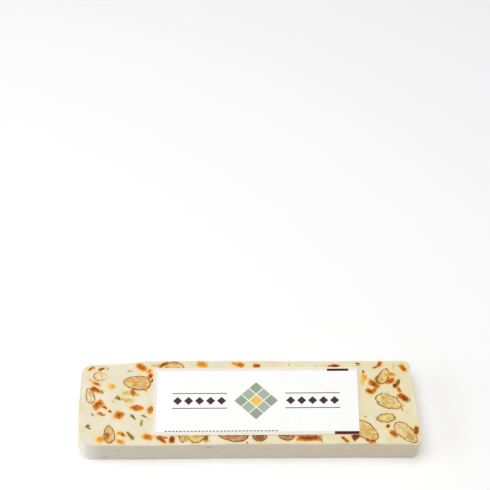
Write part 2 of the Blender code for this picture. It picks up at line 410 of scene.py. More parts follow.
@dataclass
class Section:
    """The flat cut of one almond, read from its solid: where it lies, which way it faces and its outline."""

    node: str
    taper: float = 0.2
    centre: np.ndarray = field(init=False)
    facing: np.ndarray = field(init=False)
    along: np.ndarray = field(init=False)
    across: np.ndarray = field(init=False)
    half_length: float = field(init=False)
    half_width: float = field(init=False)
    depth: float = field(init=False)

    def __post_init__(self) -> None:
        """Finds the cut's plane, its long way towards the almond's point, and its size."""
        bm = bmesh.new()
        bm.from_mesh(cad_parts[self.node].data)
        bmesh.ops.remove_doubles(bm, verts=bm.verts, dist=1e-6)
        areas: dict[tuple, float] = {}
        for face in bm.faces:
            key = tuple(round(part, 2) for part in face.normal)
            areas[key] = areas.get(key, 0.0) + face.calc_area()
        normal = Vector(max(areas, key=areas.get)).normalized()
        flat = [face for face in bm.faces if face.normal.dot(normal) > 0.999]
        normal = sum((face.normal * face.calc_area() for face in flat), Vector()).normalized()
        rim = np.array([vert.co for vert in {v for face in flat for v in face.verts}])
        heights = np.array([vert.co.dot(normal) for vert in bm.verts])
        bm.free()
        self.facing = np.array(normal)
        self.depth = float(heights.max() - heights.min())
        self.centre = rim.mean(axis=0)
        self.along = np.linalg.svd(rim - self.centre)[2][0]
        self.across = np.cross(self.facing, self.along)
        u, v = self.local(rim)
        if np.ptp(v[u > 0.4 * u.max()]) > np.ptp(v[u < 0.4 * u.min()]):
            self.along, self.across = -self.along, -self.across
            u, v = -u, -v
        self.centre = self.centre + self.along * (u.max() + u.min()) / 2 + self.across * (v.max() + v.min()) / 2
        self.half_length, self.half_width = float(np.ptp(u)) / 2, float(np.ptp(v)) / 2
        turn = np.linspace(-math.pi, math.pi, 721)
        x = self.half_length * np.cos(turn)
        y = self.half_width * np.sin(turn) * (1 - self.taper * np.cos(turn))
        self.angles, self.radii = np.unwrap(np.arctan2(y, x)), np.hypot(x, y)

    def local(self, points: np.ndarray) -> tuple[np.ndarray, np.ndarray]:
        """Points as distances along and across the cut from its middle."""
        offset = points - self.centre
        return offset @ self.along, offset @ self.across

    def reach(self, angle: np.ndarray) -> np.ndarray:
        """The outline's distance from the middle at each angle from -pi to pi."""
        return np.interp(angle, self.angles, self.radii)

    def outside(self, points: np.ndarray) -> np.ndarray:
        """How far each point lies outside the outline, and negative inside it."""
        u, v = self.local(points)
        return np.hypot(u, v) - self.reach(np.arctan2(v, u))


# ---------------------------------------------------------------- peel, chips and stains


@dataclass(frozen=True)
class Outline:
    """How a bit is cut: how round it is, its taper to one end, its points at both ends and how far it leans."""

    roundness: float
    taper: float
    pointing: float
    lean: float

    def shape(self, u: float, v: float, lean_side: int) -> tuple[float, float]:
        """Moves a point of the square from -1 to 1 to its place in the outline."""
        round_u, round_v = u * math.sqrt(1 - v * v / 2), v * math.sqrt(1 - u * u / 2)
        u += (round_u - u) * self.roundness
        v += (round_v - v) * self.roundness
        v *= (1 + (self.taper - 1) * (u + 1) / 2) * (1 - self.pointing * abs(u) ** 1.5)
        return u, v + self.lean * lean_side * u / 2


class Cut(Enum):
    """The outlines that bits are cut to."""

    BLOCK = Outline(0.42, 0.86, 0.0, 0.08)
    LEANING = Outline(0.38, 0.9, 0.0, 0.42)
    WEDGE = Outline(0.4, 0.45, 0.0, 0.1)
    SLIVER = Outline(0.6, 0.65, 0.2, 0.2)
    LENS = Outline(0.7, 0.95, 0.6, 0.15)
    LUMP = Outline(0.9, 0.9, 0.0, 0.1)


@dataclass(frozen=True)
class Bit:
    """A bit set in a broad face, in millimetres: its turn in degrees, depth of colour, cut and nougat over it."""

    x: float
    y: float
    length: float
    width: float
    turn: float
    depth: float
    cut: Cut = Cut.BLOCK
    veil: float = 0.0


@dataclass(frozen=True)
class Stain:
    """A soft stain in the nougat: place and reach in millimetres, and the syrup, olive and brown in it."""

    x: float
    y: float
    reach: float
    syrup: float = 0.0
    olive: float = 0.0
    brown: float = 0.0


B, L, W, S, N, M = Cut.BLOCK, Cut.LEANING, Cut.WEDGE, Cut.SLIVER, Cut.LENS, Cut.LUMP

TOP_PEEL = (
    # the left-hand end
    Bit(-95.6, 24.1, 3.6, 2.0, 52, 0.66, S, 0.2), Bit(-93.9, 24.8, 2.8, 1.8, -55, 0.55, S, 0.25),
    Bit(-88.8, 23.9, 4.2, 2.2, 25, 0.78, W, 0.15), Bit(-95.0, 15.8, 3.8, 1.8, -42, 0.12, S),
    Bit(-91.3, 13.3, 5.6, 2.9, -20, 0.50, S), Bit(-92.3, 9.4, 4.8, 3.2, -38, 0.72, L),
    Bit(-90.2, 8.4, 3.4, 2.4, -38, 0.62, L), Bit(-89.3, -1.5, 6.8, 5.2, 36, 0.60, L),
    Bit(-85.0, -3.5, 3.4, 2.2, -42, 0.68, W, 0.1), Bit(-81.9, -6.2, 2.6, 1.9, -40, 0.62, M, 0.25),
    Bit(-86.9, -8.0, 4.9, 2.6, -14, 0.74, S, 0.3), Bit(-76.5, -8.9, 5.6, 5.4, -22, 0.60),
    Bit(-66.2, -3.9, 7.8, 4.2, -12, 0.62, N), Bit(-57.9, -5.2, 5.0, 4.0, 80, 0.56, N),
    Bit(-68.9, 6.6, 4.2, 3.4, -35, 0.50, L), Bit(-69.2, 8.6, 2.4, 1.5, 10, 0.82, S),
    Bit(-66.2, 5.2, 2.4, 1.6, -20, 0.22, W), Bit(-61.4, 9.0, 2.8, 2.2, 60, 0.35, W),
    Bit(-86.0, -25.2, 4.4, 4.0, 25, 0.30, M), Bit(-81.9, 11.2, 3.4, 3.2, 10, 0.20, M), Bit(-75.2, -21.2, 3.2, 2.4, -10, 0.35, W),
    Bit(-73.4, -22.0, 3.2, 2.3, -25, 0.62, L), Bit(-74.4, -26.8, 4.7, 2.8, -12, 0.36, L),
    Bit(-58.7, -23.8, 5.8, 4.0, -32, 0.52, L),
    # above and left of the label
    Bit(-64.7, 24.9, 7.4, 4.4, -42, 0.55, M), Bit(-59.8, 22.0, 3.4, 2.8, 70, 0.32),
    Bit(-59.0, 18.6, 3.8, 3.0, 80, 0.68, L), Bit(-57.7, 15.4, 2.6, 1.3, 75, 0.80, S),
    Bit(-51.4, 26.9, 6.4, 3.0, 32, 0.74, W),
    Bit(-27.8, 26.8, 6.6, 4.2, -12, 0.34, L), Bit(-7.8, 27.3, 3.6, 2.4, -20, 0.40, S),
    Bit(-4.4, 26.2, 4.6, 3.4, -24, 0.56), Bit(5.8, 25.6, 4.1, 3.0, -12, 0.72, L),
    Bit(53.2, 25.2, 6.4, 2.6, 4, 0.86, N), Bit(67.3, 26.9, 2.9, 1.3, 4, 0.80, S),
    Bit(67.8, 25.8, 2.7, 1.3, 0, 0.20, S),
    # the right-hand end
    Bit(80.6, 26.3, 4.8, 2.9, 62, 0.68), Bit(87.0, 18.8, 4.4, 2.8, -8, 0.34, L),
    Bit(94.6, 23.4, 6.0, 3.6, -60, 0.56),
    Bit(86.0, 14.2, 5.9, 3.7, 14, 0.64, L), Bit(75.9, 11.9, 7.0, 4.2, -26, 0.68, L),
    Bit(73.0, 6.8, 4.6, 3.4, -50, 0.68, M, 0.1), Bit(75.6, 7.2, 5.0, 2.8, 54, 0.56, L),
    Bit(89.0, 11.0, 3.8, 2.6, 28, 0.90, L), Bit(90.7, 7.9, 4.2, 2.2, -78, 0.50, L),
    Bit(92.9, 2.2, 7.4, 4.5, -52, 0.74, L), Bit(98.3, -20.4, 6.0, 3.2, 78, 0.76),
    Bit(84.9, -22.5, 6.0, 3.6, -56, 0.64, M), Bit(82.0, -17.4, 3.0, 2.2, 40, 0.80, M),
    Bit(72.0, -27.5, 4.4, 3.0, 4, 0.66), Bit(69.4, -26.9, 2.6, 1.6, -35, 0.74, S),
    Bit(70.4, 17.0, 4.8, 3.6, 84, 0.20, M), Bit(68.9, 13.2, 3.2, 2.2, 70, 0.04, M, 0.1),
    Bit(91.4, -5.9, 2.6, 1.4, -62, 0.48, S), Bit(92.6, -3.6, 1.8, 1.0, 40, 0.20, S),
    # below the label
    Bit(-50.4, -25.6, 6.8, 3.6, -42, 0.70, W), Bit(-48.4, -24.4, 3.6, 1.6, -8, 0.60, S),
    Bit(-44.3, -25.6, 4.5, 3.6, 84, 0.88),
    Bit(-23.9, -26.9, 3.0, 1.8, 4, 0.22, W), Bit(35.2, -25.1, 15.0, 3.9, 3, 0.74, L),
    Bit(35.8, -24.9, 7.8, 2.6, 6, 0.92, W), Bit(30.0, -26.2, 4.4, 1.9, -4, 0.36, S),
    Bit(55.6, -25.4, 2.9, 2.0, -30, 0.88, S), Bit(57.0, -26.9, 3.4, 2.4, -55, 0.56, L),
    Bit(62.8, -23.8, 6.2, 4.4, 35, 1.05, L),
)

TOP_CHIPS = (
    Bit(-69.0, -22.7, 5.6, 2.3, 128, 0.74, W), Bit(-77.4, 3.0, 3.2, 2.6, -35, 0.70, W), Bit(-74.9, 2.2, 2.8, 1.6, -20, 0.12, S),
    Bit(-72.6, 0.8, 2.6, 1.0, -25, 0.62, S), Bit(-71.0, 1.4, 4.2, 2.2, -12, 0.05, M, 0.1),
    Bit(-73.0, 6.4, 4.0, 2.5, -8, 0.14, L), Bit(-88.0, 7.4, 2.6, 2.0, -42, 0.50, M),
    Bit(90.8, 13.4, 3.4, 2.4, 62, 0.92, W),
    Bit(78.0, 16.4, 3.2, 1.7, 66, 0.72, S),
    Bit(78.0, 13.6, 3.0, 1.7, 96, 0.68, S), Bit(77.6, 24.0, 3.0, 1.6, 20, 0.75, S),
    Bit(-67.8, -10.3, 3.6, 1.6, -52, 0.85, W), Bit(-61.2, -9.8, 3.3, 1.2, -26, 0.70, S),
    Bit(-62.8, -14.1, 3.6, 1.7, 82, 0.55, W), Bit(-94.2, -16.3, 2.2, 1.8, 60, 0.88),
    Bit(-93.0, -17.8, 1.1, 0.9, 0, 0.95), Bit(-91.9, -8.4, 2.3, 0.9, -50, 0.70, S),
    Bit(-71.6, 22.4, 2.6, 0.9, 0, 0.50, S), Bit(-85.0, 24.0, 1.7, 0.7, 70, 0.45, S),
    Bit(-80.2, 0.6, 0.9, 0.7, 0, 0.55), Bit(88.8, 24.4, 2.7, 1.2, 82, 0.10, S),
    Bit(70.3, 21.0, 1.6, 1.2, 80, 0.95), Bit(69.3, -10.8, 1.7, 0.8, -10, 0.45, S),
    Bit(84.0, 6.0, 1.0, 0.6, 0, 0.20, veil=0.2), Bit(25.1, 26.3, 1.5, 0.7, 85, 0.25, veil=0.2),
    Bit(41.6, 25.0, 1.8, 0.8, 80, 0.15, S, 0.3), Bit(49.9, 25.2, 1.9, 1.1, 0, 0.85),
    Bit(-0.7, -28.0, 1.1, 0.8, 70, 0.85), Bit(42.6, -26.8, 2.0, 0.6, -72, 0.75, S),
    Bit(-56.0, 26.1, 5.4, 1.5, -4, 0.16, S), Bit(-35.7, -24.2, 4.6, 2.4, 88, 0.30, M),
    Bit(-24.6, -25.1, 3.6, 2.0, 82, 0.86),
)

TOP_STAINS = (
    Stain(-81.9, 11.2, 2.6, syrup=1.0), Stain(-86.4, -23.4, 3.4, olive=0.6), Stain(-88.4, 18.6, 1.8, olive=0.6, syrup=0.2),
    Stain(-73.0, 6.3, 2.6, syrup=0.3, olive=0.7), Stain(-71.0, 1.6, 2.6, syrup=0.3, olive=0.5),
    Stain(-58.7, -12.3, 1.6, syrup=0.45), Stain(-98.6, -4.6, 1.8, olive=0.8),
    Stain(-97.2, -19.5, 2.2, olive=0.7), Stain(-97.0, -22.5, 1.8, olive=0.5),
    Stain(-76.0, 23.4, 2.0, syrup=0.2), Stain(16.4, 27.0, 2.0, syrup=0.6),
    Stain(-19.0, 25.0, 2.4, olive=0.35), Stain(13.0, 27.0, 2.0, olive=0.3),
    Stain(46.5, -24.0, 2.4, olive=0.3), Stain(94.2, -7.8, 1.9, syrup=0.35, brown=0.1),
    Stain(91.6, 17.4, 1.7, syrup=0.35), Stain(81.6, -26.4, 2.0, olive=0.6),
    Stain(87.0, -27.6, 2.0, olive=0.5), Stain(7.0, -29.0, 2.6, olive=0.45),
    Stain(80.0, -19.0, 3.2, syrup=0.35), Stain(84.5, -6.8, 2.4, syrup=0.2),
    Stain(49.5, 24.0, 2.4, syrup=0.25), Stain(57.5, 26.6, 2.2, olive=0.25),
)


@dataclass(frozen=True)
class Mark:
    """A thin mark along the front side, in millimetres: its middle along the bar, its height and its length."""

    x: float
    z: float
    length: float
    strength: float
    height: float = 0.45


FRONT_MARKS = (
    Mark(-76.0, 9.6, 4.0, 0.5), Mark(-64.5, 12.9, 3.0, 0.45), Mark(-22.5, 12.3, 5.0, 0.6, 0.6),
    Mark(-18.5, 7.4, 4.0, 0.4), Mark(-84.0, 3.4, 3.6, 0.4), Mark(-56.0, 1.6, 3.0, 0.45),
    Mark(-40.0, 5.2, 6.0, 0.25), Mark(12.0, 10.4, 7.0, 0.22), Mark(31.0, 4.0, 5.0, 0.25),
    Mark(54.0, 8.2, 8.0, 0.22), Mark(69.0, 3.2, 4.0, 0.35), Mark(82.0, 11.0, 5.0, 0.25),
)


@dataclass
class Face:
    """One flat face of the bar as bits see it: its origin, its own two directions and the way it looks."""

    origin: Vector
    along: Vector
    across: Vector

    def __post_init__(self) -> None:
        """Works out the way the face looks."""
        self.facing = self.along.cross(self.across)

    def matrix(self, bit: Bit) -> Matrix:
        """Where a bit's own axes lie in the face."""
        turn = math.radians(bit.turn)
        first = self.along * math.cos(turn) + self.across * math.sin(turn)
        second = self.facing.cross(first)
        place = self.origin + self.along * bit.x * MM + self.across * bit.y * MM
        axes = Matrix((first, second, self.facing)).transposed().to_4x4()
        return Matrix.Translation(place) @ axes


@dataclass
class BitMaker:
    """Makes bits of one kind as one piece: small cut blocks set in the faces, a hair proud of them."""

    name: str
    slot: str
    seed: int
    divisions: int = 7
    proud: float = 0.06 * MM
    growth: float = 1.08
    unevenness: float = 0.2
    depth_share: float = 0.55

    def block(self, bit: Bit, rng: Random) -> tuple[bmesh.types.BMesh, list[float]]:
        """One bit about the origin, with its cut at Z = 0.

        Args:
            bit: The bit.
            rng: Where its unevenness comes from.

        Returns:
            The closed shape, and for each vertex how near the core of its cut it is, 0 to 1.
        """
        bm = bmesh.new()
        bmesh.ops.create_cube(bm, size=2.0)
        bmesh.ops.subdivide_edges(bm, edges=bm.edges, cuts=self.divisions, use_grid_fill=True)
        lean_side = rng.choice((-1, 1))
        shift = Vector((rng.uniform(0, 50), rng.uniform(0, 50), rng.uniform(0, 50)))
        cores: list[float] = []
        for vert in bm.verts:
            u, v, w = vert.co
            rim, core = max(abs(u), abs(v)), (1 - u * u) * (1 - v * v)
            under = (1 - w) / 2
            angle = math.atan2(v, u)
            around = Vector((math.cos(angle), math.sin(angle), under * 0.5))
            push = noise.noise(around * 0.6 + shift) + 0.4 * noise.noise(around * 3.4 + shift)
            u, v = bit.cut.value.shape(u, v, lean_side)
            size = (self.growth + self.unevenness * push) * (1 - 0.3 * under * under) * MM / 2
            crown = self.proud * (1 - 1.4 * rim ** 6 + 0.6 * noise.noise(Vector((u, v, 0.0)) * 2.2 + shift))
            height = crown * (1 - under) - under * bit.width * self.depth_share * MM
            vert.co = Vector((u * bit.length * size, v * bit.width * size, height))
            cores.append(core * (1 - under))
        return bm, cores

    def build(self, bits: list[tuple["Face", Bit]], material: bpy.types.Material) -> bpy.types.Object:
        """Makes the piece.

        Args:
            bits: Each bit with the face that it is set in.
            material: The finish.

        Returns:
            The piece, with each bit's depth of colour, core and veil on its vertices.
        """
        rng = Random(self.seed)
        whole = bmesh.new()
        marks: list[tuple[float, float, float]] = []
        for face, bit in bits:
            block, cores = self.block(bit, rng)
            bmesh.ops.transform(block, matrix=face.matrix(bit), verts=block.verts)
            marks += [(bit.depth, core, bit.veil) for core in cores]
            merge(whole, block)
        piece = keep(whole, self.name, [material])
        piece.data.shade_smooth()
        write_colours(piece.data, "bit", np.array(marks))
        return piece


# ---------------------------------------------------------------- the bar


@dataclass
class BarForm:
    """The bar's hand-cut form: an uneven rectangle with rounded corners, feet and edges."""

    low: Vector
    high: Vector
    edge_radius: float = 0.8 * MM
    left_foot_radius: float = 4.5 * MM
    right_foot_radius: float = 3 * MM
    back_left_shortfall: float = 2.4 * MM
    back_right_shortfall: float = 0.8 * MM
    front_shortfall: float = 0.9 * MM
    front_foot_share: float = 0.35
    left_end_shortfall: float = 1.6 * MM
    right_end_shortfall: float = 1.8 * MM
    right_end_lean: float = 1.2 * MM
    end_recess: float = 0.08 * MM
    corner_radii: dict = field(default_factory=lambda: {
        (-1, -1): 5 * MM, (1, -1): 3.5 * MM, (1, 1): 4.5 * MM, (-1, 1): 6.5 * MM,
    })

    def __post_init__(self) -> None:
        """Takes the overall size from the solid's box."""
        self.length = 2 * max(-self.low.x, self.high.x)
        self.width = 2 * max(-self.low.y, self.high.y)
        self.thickness = self.high.z

    def back(self, x: float) -> float:
        """The back side's Y at x."""
        narrowing = self.back_left_shortfall * ease(x, -0.27 * self.length, -0.44 * self.length)
        narrowing += self.back_right_shortfall * ease(x, -0.12 * self.length, 0.25 * self.length)
        return self.width / 2 - narrowing

    def front(self, x: float, z: float) -> float:
        """The front side's Y at x and z."""
        swell = 0.5 * math.exp(-(((x + 0.32 * self.length) / (0.13 * self.length)) ** 2))
        shortfall = self.front_shortfall * (1 - ease(x, 0.34 * self.length, 0.47 * self.length)) * (1 - swell)
        share = self.front_foot_share + (1 - self.front_foot_share) * z / self.thickness
        return -self.width / 2 + shortfall * share

    def left(self, y: float) -> float:
        """The left end's X at y."""
        return -self.length / 2 + self.left_end_shortfall * ease(y, 0.03 * self.width, -0.48 * self.width)

    def right(self, y: float) -> float:
        """The right end's X at y."""
        return self.length / 2 - self.right_end_shortfall * ease(y, -0.3 * self.width, 0.4 * self.width)

    def rounding(self, z: float, foot_radius: float) -> float:
        """How far a wall is drawn in at height z by the arcs at its foot and top."""
        if z < foot_radius:
            return foot_radius - math.sqrt(foot_radius ** 2 - (foot_radius - z) ** 2)
        rise = max(0.0, z - (self.thickness - self.edge_radius))
        return self.edge_radius - math.sqrt(max(0.0, self.edge_radius ** 2 - rise ** 2))

    def place(self, x: float, y: float, z: float) -> Vector:
        """Moves a point of the true box to its place in the bar."""
        radius = self.corner_radii[(1 if x > 0 else -1, 1 if y > 0 else -1)]
        u = (abs(x) - self.length / 2 + radius) / radius
        v = (abs(y) - self.width / 2 + radius) / radius
        if u > 0 and v > 0:
            turned_u, turned_v = u * math.sqrt(1 - v * v / 2), v * math.sqrt(1 - u * u / 2)
            x -= math.copysign((u - turned_u) * radius, x)
            y -= math.copysign((v - turned_v) * radius, y)
        side = self.back(x) if y > 0 else -self.front(x, z)
        side -= self.rounding(z, self.edge_radius)
        if x > 0:
            lean = self.right_end_lean * (1 - z / self.thickness)
            end = self.right(y) - self.rounding(z, self.right_foot_radius) - lean
        else:
            end = -self.left(y) - self.rounding(z, self.left_foot_radius)
        return Vector((x / (self.length / 2) * end, y / (self.width / 2) * side, z))


    def end_face(self, side: int, y: float, z: float) -> Face:
        """The cut face round a point of an end; side is 1 for the right end and -1 for the left one."""
        def spot(across: float, up: float) -> Vector:
            """A point of the end."""
            return self.place(side * self.length / 2, across, up)
        step = 0.5 * MM
        along = (spot(y + step, z) - spot(y - step, z)).normalized() * side
        up = (spot(y, z + step) - spot(y, z - step)).normalized()
        return Face(spot(y, z) - along.cross(up) * self.end_recess, along, up)


@dataclass
class NougatBar:
    """The nougat itself: a finely divided bar with hollows for its almonds and the marks of the slicing knife."""

    form: BarForm
    sections: list[Section]
    cell: float = 0.72 * MM
    wall_rows: int = 34
    sink: float = 0.8 * MM
    pocket_floor: float = 0.35 * MM
    below_bits: float = 0.12 * MM
    swell: float = 0.07 * MM
    pit_depth: float = 0.16 * MM
    side_swell: float = 0.12 * MM
    lip: float = 0.28 * MM
    mark_depth: float = 0.35 * MM

    def block(self) -> bmesh.types.BMesh:
        """A box of even cells, its wall rows closer near the edges, in the bar's form."""
        form = self.form
        columns, rows = round(form.length / self.cell), round(form.width / self.cell)
        bm = bmesh.new()
        bmesh.ops.create_grid(bm, x_segments=columns, y_segments=rows, size=0.5)
        bmesh.ops.scale(bm, vec=(form.length, form.width, 1.0), verts=bm.verts)
        bmesh.ops.reverse_faces(bm, faces=bm.faces)
        raised = bmesh.ops.extrude_face_region(bm, geom=bm.faces[:], use_keep_orig=True)["geom"]
        bmesh.ops.translate(bm, vec=(0, 0, 1.0), verts=[g for g in raised if isinstance(g, bmesh.types.BMVert)])
        upright = [e for e in bm.edges if abs(e.verts[0].co.z - e.verts[1].co.z) > 0.5]
        bmesh.ops.subdivide_edges(bm, edges=upright, cuts=self.wall_rows, use_grid_fill=True)
        bmesh.ops.recalc_face_normals(bm, faces=bm.faces)
        for vert in bm.verts:
            height = form.thickness * (0.5 - 0.5 * math.cos(math.pi * vert.co.z))
            vert.co = form.place(vert.co.x, vert.co.y, height)
        return bm

    def build(
        self, peel: list[tuple[Face, Bit]], chips: list[tuple[Face, Bit]], material: bpy.types.Material,
    ) -> bpy.types.Object:
        """Makes the piece, with its relief, and stained by the peel and chips in it."""
        piece = keep(self.block(), "nougat_body", [material])
        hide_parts("nougat")
        mesh = piece.data
        mesh.shade_smooth()
        points = places(mesh)
        top = points[:, 2] > self.form.thickness - 1e-6
        base = points[:, 2] < 1e-6
        self.stain(mesh, points, peel, chips)
        self.carve(points, top, base)
        mesh.vertices.foreach_set("co", points.astype(np.float32).ravel())
        mesh.update()
        return piece

    def carve(self, points: np.ndarray, top: np.ndarray, base: np.ndarray) -> None:
        """Moves the vertices: waves and pits on the cut faces, soft swells and lips on the sides, and pockets."""
        length, width, height = self.form.length, self.form.width, self.form.thickness
        original = points.copy()
        for k, (x, y, z) in enumerate(original):
            spot = Vector((x, y, z))
            wave = noise.noise(spot * 70.0) + 0.5 * noise.noise(spot * 190.0)
            pit = max(0.0, noise.noise(spot * 620.0 + Vector((7, 3, 1))) - 0.42)
            lip = max(0.0, 0.35 + noise.noise(Vector((x * 120, y * 60, 3.0))) + 0.5 * noise.noise(spot * 330.0))
            rim = max(ease(abs(x), length / 2 - 3.0 * MM, length / 2), ease(abs(y), width / 2 - 3.5 * MM, width / 2))
            if top[k] or base[k]:
                down = self.swell * (0.6 + 0.5 * wave) + self.pit_depth * pit * 3 + self.lip * lip * rim
                points[k, 2] += -down if top[k] else down + self.below_bits
                continue
            near_edge = max(ease(z, height - 3.2 * MM, height), ease(z, 1.8 * MM, 0.0))
            pull = self.side_swell * (0.5 + 0.5 * wave) + self.pit_depth * pit
            pull = max(0.0, pull) * (1 - abs(2 * z / height - 1) ** 4) + self.lip * lip * near_edge
            below = self.below_bits * (1 - abs(2 * z / height - 1) ** 4)
            points[k, 0] -= math.copysign(pull + below, x) * ease(abs(x), 0.44 * length, 0.5 * length)
            points[k, 1] -= math.copysign(pull, y) * ease(abs(y), 0.4 * width, 0.5 * width)
        for mark in FRONT_MARKS:
            along = (original[:, 0] - mark.x * MM) / (mark.length / 2 * MM)
            rise = (original[:, 2] - mark.z * MM) / (mark.height * MM)
            line = np.exp(-(along ** 4) - rise ** 2) * (original[:, 1] < -0.4 * width)
            points[:, 1] += line * self.mark_depth * mark.strength
        for section in self.sections:
            level = (original - section.centre) @ section.facing
            inside = -section.outside(original) - self.sink
            facing_it = (np.abs(level) < 1.5 * MM) & (inside > 0)
            depth = section.depth * np.sqrt(np.clip(inside / (self.sink * 2), 0, 1)) + self.pocket_floor
            points[facing_it] -= section.facing * depth[facing_it, None]

    def stain(
        self, mesh: bpy.types.Mesh, points: np.ndarray, peel: list[tuple[Face, Bit]],
        chips: list[tuple[Face, Bit]],
    ) -> None:
        """Writes the syrup, olive and brown in the nougat round what is set in it, and where its sides are."""
        stains = np.zeros((len(points), 3))
        peel_bits = {bit for _, bit in peel}
        ragged = np.array([0.8 + 0.9 * noise.noise(Vector(point) * 330) for point in points])
        for face, bit in peel + chips:
            place = np.array(face.matrix(bit).inverted())
            local = points @ place[:3, :3].T + place[:3, 3]
            over_u = np.clip(np.abs(local[:, 0]) - bit.length / 2 * MM, 0, None)
            over_v = np.clip(np.abs(local[:, 1]) - bit.width / 2 * MM, 0, None)
            away = np.sqrt(over_u ** 2 + over_v ** 2 + local[:, 2] ** 2)
            halo = np.exp(-((away / (0.9 * MM)) ** 2)) * ragged
            strength = 0.25 if bit.width < 2.0 else 0.75
            channel = 0 if bit in peel_bits else 1
            stains[:, channel] = np.maximum(stains[:, channel], halo * strength)
        for section in self.sections:
            away = np.clip(section.outside(points), 0, None)
            level = np.abs((points - section.centre) @ section.facing)
            halo = np.exp(-(((away + level) / (1.0 * MM)) ** 2))
            stains[:, 0] = np.maximum(stains[:, 0], halo * 0.35)
        height = self.form.thickness
        for stain in TOP_STAINS:
            centre = np.array((stain.x * MM, stain.y * MM, height))
            away = np.linalg.norm(points - centre, axis=1)
            halo = np.exp(-((away / (stain.reach * MM)) ** 2))
            for channel, strength in enumerate((stain.syrup, stain.olive, stain.brown)):
                stains[:, channel] = np.maximum(stains[:, channel], halo * strength)
        for mark in FRONT_MARKS:
            along = (points[:, 0] - mark.x * MM) / (mark.length / 2 * MM)
            rise = (points[:, 2] - mark.z * MM) / (mark.height * MM)
            line = np.exp(-(along ** 4) - rise ** 2) * (points[:, 1] < -0.4 * self.form.width) * mark.strength
            stains[:, 2] = np.maximum(stains[:, 2], line)
        write_colours(mesh, "stain", np.clip(stains, 0, 1))
        write_colours(mesh, "zone", np.array([self.zone(Vector(point)) for point in points]))

    def zone(self, point: Vector) -> tuple[float, float, float]:
        """How far a point belongs to a plain long side, and how much painted highlight of the light from the left
        lies there.
        """
        half_length, half_width, height = self.form.length / 2, self.form.width / 2, self.form.thickness
        lip = self.form.edge_radius * (1.5 + 3.4 * noise.noise(Vector((point.x * 85, point.y * 20, 0.0))))
        side = min(
            ease(abs(point.y), half_width - 3.4 * MM, half_width - 2.2 * MM),
            ease(point.z, height, height - max(0.4 * MM, lip)), ease(point.z, 0, self.form.edge_radius),
            ease(abs(point.x), half_length - 1 * MM, half_length - 5 * MM),
        )
        # Painted highlight: how much pale light from the left is painted on, near the front-left corner.
        painted_highlight = ease(point.x, -0.42 * self.form.length, -0.485 * self.form.length) * ease(point.y, 0.0, -0.3 * half_width)
        return side, painted_highlight, 0.0


# ---------------------------------------------------------------- almonds


class Flesh(Enum):
    """The kinds of cut flesh."""

    TOASTED = AlmondFinish("almond_toasted", linear(226, 182, 106), linear(190, 124, 56), linear(238, 208, 140))
    YELLOW = AlmondFinish("almond_yellow", linear(228, 196, 112), linear(194, 144, 60), linear(238, 216, 142))
    PALE = AlmondFinish("almond_pale", linear(228, 200, 136), linear(206, 162, 78), linear(236, 216, 164))
    BROWNED = AlmondFinish("almond_browned", linear(198, 140, 76), linear(142, 78, 30), linear(222, 176, 112))


@dataclass(frozen=True)
class AlmondLook:
    """How one almond's cut looks.

    flesh is its kind, veil how far nougat hides it, skin the vigour of its skin's line, ragged how uneven its
    outline is, cleft how clear the line between its halves is, toast how brown its brown patch is, spot where
    that patch lies as shares of its half length and half width, with its reach as a share of the half length,
    and bare the arc in degrees, from the pointed end, where the skin is missing.
    """

    flesh: Flesh = Flesh.TOASTED
    veil: float = 0.1
    skin: float = 0.9
    ragged: float = 0.035
    cleft: float = 0.0
    toast: float = 0.2
    spot: tuple[float, float, float] = (0.0, 0.0, 0.85)
    bare: tuple[float, float] = (0.0, 0.0)


LOOKS = {
    "almond_top_01": AlmondLook(Flesh.TOASTED, ragged=0.06, cleft=0.35, toast=0.3),
    "almond_top_02": AlmondLook(Flesh.PALE, veil=0.45, skin=1.0, toast=0.4, cleft=0.3),
    "almond_top_03": AlmondLook(Flesh.TOASTED, skin=1.0, ragged=0.09, toast=3.4, cleft=0.4, spot=(-0.15, 0.45, 0.5)),
    "almond_top_04": AlmondLook(Flesh.PALE, veil=0.55, skin=0.8, bare=(-60.0, 170.0)),
    "almond_top_05": AlmondLook(Flesh.TOASTED, veil=0.15),
    "almond_top_06": AlmondLook(Flesh.YELLOW, skin=1.0, ragged=0.05, toast=1.2, spot=(0.95, 0.0, 0.35)),
    "almond_top_07": AlmondLook(Flesh.YELLOW, veil=0.42, skin=1.0, ragged=0.22, toast=0.3),
    "almond_top_08": AlmondLook(Flesh.YELLOW, skin=1.0, ragged=0.16, toast=1.3, spot=(0.85, 0.0, 0.45)),
    "almond_top_09": AlmondLook(Flesh.YELLOW, veil=0.0, skin=0.9, toast=0.4),
    "almond_top_10": AlmondLook(Flesh.PALE, veil=0.38, skin=0.9, cleft=0.7, toast=1.1, spot=(0.45, -0.1, 0.7)),
    "almond_top_11": AlmondLook(Flesh.TOASTED, cleft=0.6),
    "almond_top_12": AlmondLook(Flesh.YELLOW, skin=1.0, ragged=0.08, toast=0.6),
    "almond_top_13": AlmondLook(Flesh.BROWNED, toast=0.5),
    "almond_top_14": AlmondLook(Flesh.BROWNED, veil=0.0, ragged=0.08, toast=2.6, spot=(0.0, 0.0, 1.1)),
    "almond_top_15": AlmondLook(Flesh.BROWNED, veil=0.0, skin=1.0, ragged=0.09, cleft=0.4, toast=0.7),
}


